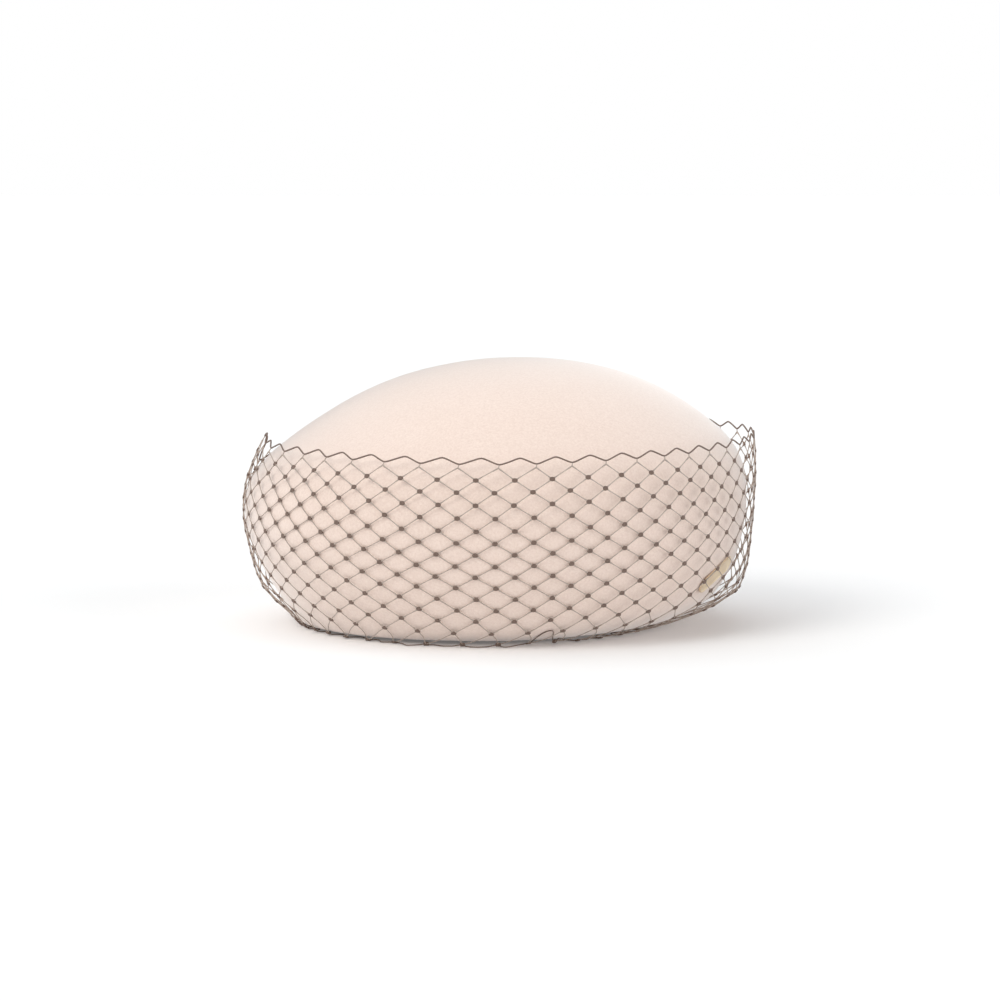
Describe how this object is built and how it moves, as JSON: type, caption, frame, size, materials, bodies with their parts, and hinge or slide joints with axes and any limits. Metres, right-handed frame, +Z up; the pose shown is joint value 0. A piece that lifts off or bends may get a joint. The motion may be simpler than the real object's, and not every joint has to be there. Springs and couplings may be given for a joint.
{
  "type": "veiled hat",
  "caption": "Rounded moulded felt hat with a turned-under rim, wrapped in an open diamond net veil that stands free above the shoulder, with a small plain brass plate.",
  "frame": {"origin": "on the surface that the hat rests on, under the middle of its box", "axes": "+Z up through the top of the crown; -Y towards the side that the picture shows; +X towards the side with the brass plate"},
  "size_m": [0.2626, 0.2468, 0.135],
  "materials": {
    "felt": "cream-blush wool felt, short soft nap",
    "net": "dark brown-black knotted veiling",
    "brass": "pale satin brass"
  },
  "bodies": {
    "root": {"crown": "felt", "veil": "net", "brass_plate": "brass"}
  },
  "joints": []
}
